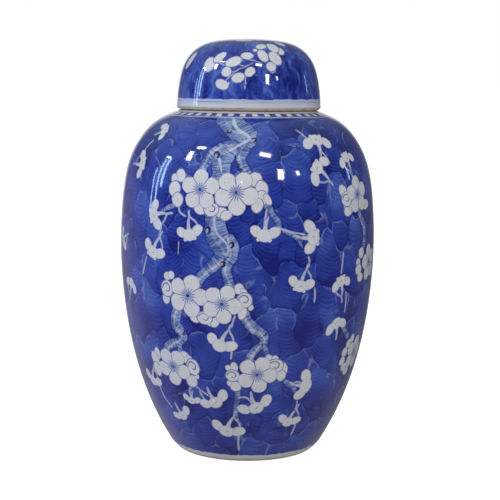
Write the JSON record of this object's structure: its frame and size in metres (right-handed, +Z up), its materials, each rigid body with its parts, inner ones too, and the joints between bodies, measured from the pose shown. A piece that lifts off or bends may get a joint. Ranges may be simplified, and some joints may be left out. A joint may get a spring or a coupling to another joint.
{
  "type": "ginger jar",
  "caption": "Covered ovoid ginger jar in blue and white porcelain, with a short neck under a domed cap lid that lifts off.",
  "frame": {"origin": "centre of the foot ring, on the surface the jar stands on", "axes": "+Z up along the turning axis, towards the lid; -Y is the side with the main painted tree"},
  "size_m": [0.2046, 0.2046, 0.33],
  "materials": {
    "jar_glaze": "glossy clear glaze over cobalt blue painting",
    "lid_glaze": "glossy clear glaze over cobalt blue painting"
  },
  "bodies": {
    "jar": {"jar_body": "jar_glaze"},
    "cover": {"lid": "lid_glaze"}
  },
  "joints": [
    {"name": "lid_lift", "type": "slide", "parent": "jar", "child": "cover", "axis": [0, 0, 1], "range_m": [0, 0.1]}
  ]
}
